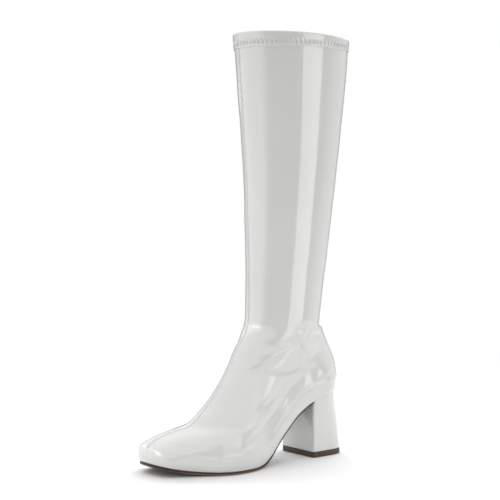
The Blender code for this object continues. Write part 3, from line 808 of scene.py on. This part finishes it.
def link(material, out, into):
    """Joins two sockets of a material."""
    material.node_tree.links.new(out, into)


def placed_node(material, kind, **settings):
    """A node that is fed with places in the boot's own metres."""
    made = node(material, kind, **settings)
    place = node(material, "ShaderNodeTexCoord")
    link(material, place.outputs["Object"], made.inputs["Vector"])
    return made


def map_range(material, value, **ends):
    """A value moved from one range to another, both 0 to 1 where no end is given."""
    ramp = node(material, "ShaderNodeMapRange", **ends)
    link(material, value, ramp.inputs["Value"])
    return ramp.outputs["Result"]


def new_material(name, colour, roughness, coat=0.0, coat_roughness=0.05, specular=0.5):
    """A material with its constant values."""
    material = bpy.data.materials.new(name)
    material.use_nodes = True
    shader = shader_of(material)
    shader.inputs["Base Color"].default_value = (*colour, 1.0)
    shader.inputs["Roughness"].default_value = roughness
    shader.inputs["Coat Weight"].default_value = coat
    shader.inputs["Coat Roughness"].default_value = coat_roughness
    shader.inputs["Specular IOR Level"].default_value = specular
    material.diffuse_color = (*colour, 1.0)
    return material


def noise_of(material, scale, detail=3.0, stretch=(1.0, 1.0, 1.0)):
    """Noise in the boot's own metres: scale is its number of features per metre."""
    sized = placed_node(material, "ShaderNodeMapping", Scale=stretch)
    found = node(material, "ShaderNodeTexNoise", Scale=scale, Detail=detail)
    link(material, sized.outputs["Vector"], found.inputs["Vector"])
    return found.outputs["Fac"]


def blend_colours(material, fac, low, high, start=0.35, end=0.65):
    """Two colours mixed by a value, from the first at start to the second at end."""
    share = map_range(material, fac, From_Min=start, From_Max=end)
    mix = node(material, "ShaderNodeMix", data_type="RGBA")
    mix.inputs["A"].default_value = (*low, 1.0)
    mix.inputs["B"].default_value = (*high, 1.0)
    link(material, share, mix.inputs["Factor"])
    return mix.outputs["Result"]


def vary_roughness(material, fac, low, high):
    """Drives the roughness between two values."""
    roughness = map_range(material, fac, To_Min=low, To_Max=high)
    link(material, roughness, shader_of(material).inputs["Roughness"])


def paint(material, colour):
    """Drives the base colour."""
    link(material, colour, shader_of(material).inputs["Base Color"])


def bump(material, heights):
    """Stacks bumps on the base and the coat. heights: pairs of a value and metres."""
    normal = None
    for fac, distance in heights:
        step = node(material, "ShaderNodeBump", Strength=1.0, Distance=distance)
        link(material, fac, step.inputs["Height"])
        if normal is not None:
            link(material, normal, step.inputs["Normal"])
        normal = step.outputs["Normal"]
    shader = shader_of(material)
    link(material, normal, shader.inputs["Normal"])
    link(material, normal, shader.inputs["Coat Normal"])


def patent_material():
    """White coated stretch patent: a clear gloss over a faintly uneven face."""
    material = new_material("white_patent_gloss", (0.624, 0.628, 0.607), 0.32, 1.0, 0.035, 0.35)
    shader_of(material).inputs["Coat IOR"].default_value = 1.7
    cloud = noise_of(material, 14.0, 3.0)
    colour = blend_colours(material, cloud, (0.614, 0.618, 0.597), (0.634, 0.638, 0.617))
    paint(material, colour)
    vary_roughness(material, noise_of(material, 60.0, 4.0), 0.26, 0.38)
    peel = noise_of(material, 420.0, 2.0)
    swell = noise_of(material, 90.0, 2.0)
    bump(material, [(swell, 0.00006), (peel, 0.000012)])
    return material


def thread_material():
    """White polyester thread, twisted, with painted shade that darkens the twist's grooves."""
    material = new_material("white_thread", (0.70, 0.70, 0.685), 0.45, specular=0.4)
    twist = placed_node(material, "ShaderNodeTexWave", Scale=1500.0, Distortion=2.0)
    # Painted shade: the colour is darker where the twist's bump is lower, in its grooves
    low, high = (0.60, 0.60, 0.585), (0.72, 0.72, 0.705)
    colour = blend_colours(material, twist.outputs["Fac"], low, high, 0.0, 1.0)
    paint(material, colour)
    bump(material, [(twist.outputs["Fac"], 0.00008)])
    return material


# Places on the way from the toe to the heel, and the share of painted shade there: darkest at the
# toe tip and under the arch
PAINTED_SHADE_ALONG_SOLE = ((0.10, 0.75), (0.19, 0.15), (0.46, 0.0), (0.56, 0.9), (0.62, 1.0))


def sole_material(name, dark, light, waist, roughness):
    """Sole edge: streaked along its length, with painted shade darkening it at the toe tip and
    under the arch.
    """
    material = new_material(name, light, roughness, specular=0.45)
    streaks = noise_of(material, 160.0, 4.0, (1.0, 0.25, 6.0))
    colour = blend_colours(material, streaks, dark, light, 0.3, 0.7)
    place = placed_node(material, "ShaderNodeSeparateXYZ")
    toe_to_heel = map_range(material, place.outputs["Y"], From_Min=y_at(1.02), From_Max=y_at(0.10))
    along = node(material, "ShaderNodeFloatCurve")
    link(material, toe_to_heel, along.inputs["Value"])
    curve = along.mapping.curves[0]
    curve.points[0].location = (0.0, 1.0)
    curve.points[1].location = (1.0, 1.0)
    for at, amount in PAINTED_SHADE_ALONG_SOLE:
        curve.points.new(at, amount)
    along.mapping.update()
    # Painted shade: the edge's colour mixed towards a near black at the toe tip and under the arch
    mix = node(material, "ShaderNodeMix", data_type="RGBA")
    mix.inputs["B"].default_value = (*waist, 1.0)
    link(material, colour, mix.inputs["A"])
    link(material, along.outputs["Value"], mix.inputs["Factor"])
    paint(material, mix.outputs["Result"])
    vary_roughness(material, streaks, roughness - 0.08, roughness + 0.12)
    grain = noise_of(material, 900.0, 3.0)
    bump(material, [(streaks, 0.00008), (grain, 0.00004)])
    return material


def rubber_material():
    """Brown heel rubber with a fine pebble and a slightly scuffed face."""
    material = new_material("tip_rubber", (0.06, 0.036, 0.022), 0.5, specular=0.4)
    cloud = noise_of(material, 70.0, 4.0)
    colour = blend_colours(material, cloud, (0.048, 0.028, 0.017), (0.078, 0.048, 0.030), 0.3, 0.7)
    paint(material, colour)
    vary_roughness(material, cloud, 0.42, 0.62)
    pebble = placed_node(material, "ShaderNodeTexVoronoi", Scale=1400.0)
    bump(material, [(pebble.outputs["Distance"], 0.00006)])
    return material


def lining_material():
    """Off-white tricot backing: rows of small knitted ribs with a soft nap."""
    material = new_material("tricot_lining", (0.62, 0.60, 0.56), 0.85, specular=0.2)
    shader_of(material).inputs["Sheen Weight"].default_value = 0.25
    ribs = placed_node(material, "ShaderNodeTexWave", Scale=420.0, Distortion=0.6)
    courses = placed_node(material, "ShaderNodeTexWave", Scale=300.0, Distortion=0.8)
    ribs.bands_direction, courses.bands_direction = "Z", "DIAGONAL"
    cloud = noise_of(material, 45.0, 4.0)
    colour = blend_colours(material, cloud, (0.58, 0.56, 0.52), (0.66, 0.64, 0.60))
    paint(material, colour)
    bump(material, [(ribs.outputs["Fac"], 0.00015), (courses.outputs["Fac"], 0.0001)])
    return material


def sock_material():
    """Pale sock leather with a small grain and a cloudy tone."""
    material = new_material("sock_leather", (0.66, 0.60, 0.52), 0.6, specular=0.35)
    cloud = noise_of(material, 30.0, 4.0)
    colour = blend_colours(material, cloud, (0.60, 0.54, 0.46), (0.70, 0.65, 0.57), 0.3, 0.7)
    paint(material, colour)
    vary_roughness(material, cloud, 0.5, 0.72)
    grain = placed_node(material, "ShaderNodeTexVoronoi", Scale=900.0)
    bump(material, [(grain.outputs["Distance"], 0.0001)])
    return material


FLOOR_RADII = (0.4, 0.8)
FLOOR_POINTS = 96


def build_floor():
    """A plain white floor that takes the boot's soft shadow."""
    angle = np.linspace(0.0, 2 * math.pi, FLOOR_POINTS, endpoint=False)
    circle = np.stack([np.cos(angle), np.sin(angle), 0 * angle], axis=1)
    rings = [radius * circle for radius in FLOOR_RADII]
    mesh = bpy.data.meshes.new("floor")
    faces = grid_faces(len(rings), FLOOR_POINTS) + [list(range(FLOOR_POINTS))[::-1]]
    mesh.from_pydata(np.concatenate(rings).tolist(), [], faces)
    mesh.materials.append(new_material("floor_white", (0.82, 0.82, 0.82), 0.9, specular=0.1))
    floor = bpy.data.objects.new("floor", mesh)
    bpy.context.scene.collection.objects.link(floor)


# Soft studio panels, as seen from the boot.
# heading: degrees round from the camera, to the photo's right. width, edge: degrees.
# low, high: elevation in degrees, softened by fade. gloss: how bright its reflection is,
# light: how much it lights, where the background is 1. Less than 0 takes light away.
PANEL_COLUMNS = ("heading", "width", "edge", "low", "high", "fade", "gloss", "light")
PANELS = (
    (51.0, 42.0, 3.0, -24.0, 8.0, 7.0, 1.9, 0.3),       # strip to the right of the camera
    (61.0, 22.0, 14.0, -24.0, 8.0, 7.0, 0.3, 0.0),      # its brighter far half
    (-91.0, 98.0, 22.0, -30.0, 30.0, 6.0, 1.2, 0.3),    # broad panel to its left
    (120.0, 60.0, 30.0, -30.0, 40.0, 6.0, 0.6, 0.3),    # fill behind the heel
    (0.0, 240.0, 60.0, -30.0, 22.0, 8.0, 0.0, 0.38),    # soft light from the front
    (0.0, 400.0, 1.0, 13.0, 140.0, 6.0, 0.95, 0.92),    # overhead
    (-62.0, 36.0, 16.0, 17.0, 22.0, 2.0, 2.8, 0.0),     # small one for the toe's highlight
    (180.0, 126.0, 30.0, 25.0, 52.0, 7.0, -0.45, 2.9),  # behind: soft shadow, duller overhead
)
AMBIENT_GLOSS, AMBIENT_LIGHT = 0.27, 0.10


def build_world():
    """White for the camera, and panels and a dim room for all that it lights."""
    world = bpy.data.worlds.new("studio")
    bpy.context.scene.world = world
    world.use_nodes = True
    tree = world.node_tree
    tree.nodes.clear()

    def math_node(operation, *values):
        made = tree.nodes.new("ShaderNodeMath")
        made.operation = operation
        for slot, value in zip(made.inputs, values):
            if isinstance(value, (int, float)):
                slot.default_value = value
            else:
                tree.links.new(value, slot)
        return made.outputs[0]

    def step_between(value, start, end):
        ramp = tree.nodes.new("ShaderNodeMapRange")
        ramp.interpolation_type = "SMOOTHSTEP"
        ramp.inputs["From Min"].default_value = start
        ramp.inputs["From Max"].default_value = end
        tree.links.new(value, ramp.inputs["Value"])
        return ramp.outputs["Result"]

    place = tree.nodes.new("ShaderNodeTexCoord")
    parts = tree.nodes.new("ShaderNodeSeparateXYZ")
    tree.links.new(place.outputs["Generated"], parts.inputs["Vector"])
    round_z = math_node("DEGREES", math_node("ARCTAN2", parts.outputs["Y"], parts.outputs["X"]))
    level = math_node("DEGREES", math_node("ARCSINE", parts.outputs["Z"]))
    path = tree.nodes.new("ShaderNodeLightPath")
    seen, gloss = path.outputs["Is Camera Ray"], path.outputs["Is Glossy Ray"]

    def by_ray(for_gloss, for_light):
        return math_node("MULTIPLY_ADD", gloss, for_gloss - for_light, for_light)

    total = by_ray(AMBIENT_GLOSS, AMBIENT_LIGHT)
    for panel in rows(PANEL_COLUMNS, PANELS):
        away = math_node("SUBTRACT", round_z, CAMERA_AZIMUTH - 90 + panel["heading"])
        away = math_node("PINGPONG", away, 180.0)  # without whole turns, and either way round
        half, edge = panel["width"] / 2, panel["edge"] / 2
        across = step_between(away, half + edge, half - edge)
        fade = panel["fade"]
        up = step_between(level, panel["low"] - fade, panel["low"] + fade)
        down = step_between(level, panel["high"] + fade, panel["high"] - fade)
        lit = math_node("MULTIPLY", across, math_node("MULTIPLY", up, down))
        total = math_node("MULTIPLY_ADD", lit, by_ray(panel["gloss"], panel["light"]), total)
    strength = math_node("MULTIPLY_ADD", total, math_node("SUBTRACT", 1.0, seen), seen)
    background = tree.nodes.new("ShaderNodeBackground")
    background.inputs["Color"].default_value = (1.0, 1.0, 1.0, 1.0)
    tree.links.new(strength, background.inputs["Strength"])
    out = tree.nodes.new("ShaderNodeOutputWorld")
    tree.links.new(background.outputs["Background"], out.inputs["Surface"])


def build_camera():
    """The photo's camera."""
    camera = bpy.data.cameras.new("camera")
    camera.lens = CAMERA_LENS
    camera.sensor_width = 36.0
    camera.clip_end = 20.0
    seen = bpy.data.objects.new("camera", camera)
    seen.location = CAMERA_PLACE
    seen.rotation_euler = (math.radians(90 - CAMERA_PITCH), 0.0, math.radians(CAMERA_AZIMUTH))
    bpy.context.scene.collection.objects.link(seen)
    bpy.context.scene.camera = seen


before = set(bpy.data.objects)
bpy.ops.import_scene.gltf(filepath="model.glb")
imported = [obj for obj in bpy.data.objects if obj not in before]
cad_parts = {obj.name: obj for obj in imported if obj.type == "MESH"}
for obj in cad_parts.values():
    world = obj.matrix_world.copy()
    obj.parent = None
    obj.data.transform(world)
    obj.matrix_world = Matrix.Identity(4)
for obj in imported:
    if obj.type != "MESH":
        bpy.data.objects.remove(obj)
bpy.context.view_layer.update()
bpy.context.scene.view_settings.view_transform = "Standard"

PATENT = patent_material()
build_upper_skin(PATENT)
build_lining(lining_material())
build_hem(PATENT)
build_hem_stitches(thread_material())
build_heel(PATENT)
build_tip(rubber_material())
build_sole(
    # Lower band: a brown lightened as painted light from the floor, with painted shade towards the
    # toe tip and under the arch
    sole_material(
        "sole_painted_light_band", (0.13, 0.075, 0.045), (0.20, 0.125, 0.075), (0.03, 0.018, 0.012), 0.42
    ),
    # Upper band: near black as painted shade, darker still towards the toe tip and under the arch
    sole_material(
        "painted_shade_band_edge", (0.022, 0.012, 0.009), (0.045, 0.024, 0.016), (0.012, 0.008, 0.006), 0.38
    ),
)
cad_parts["insole"].data.materials.clear()
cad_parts["insole"].data.materials.append(sock_material())

build_floor()
build_world()
build_camera()
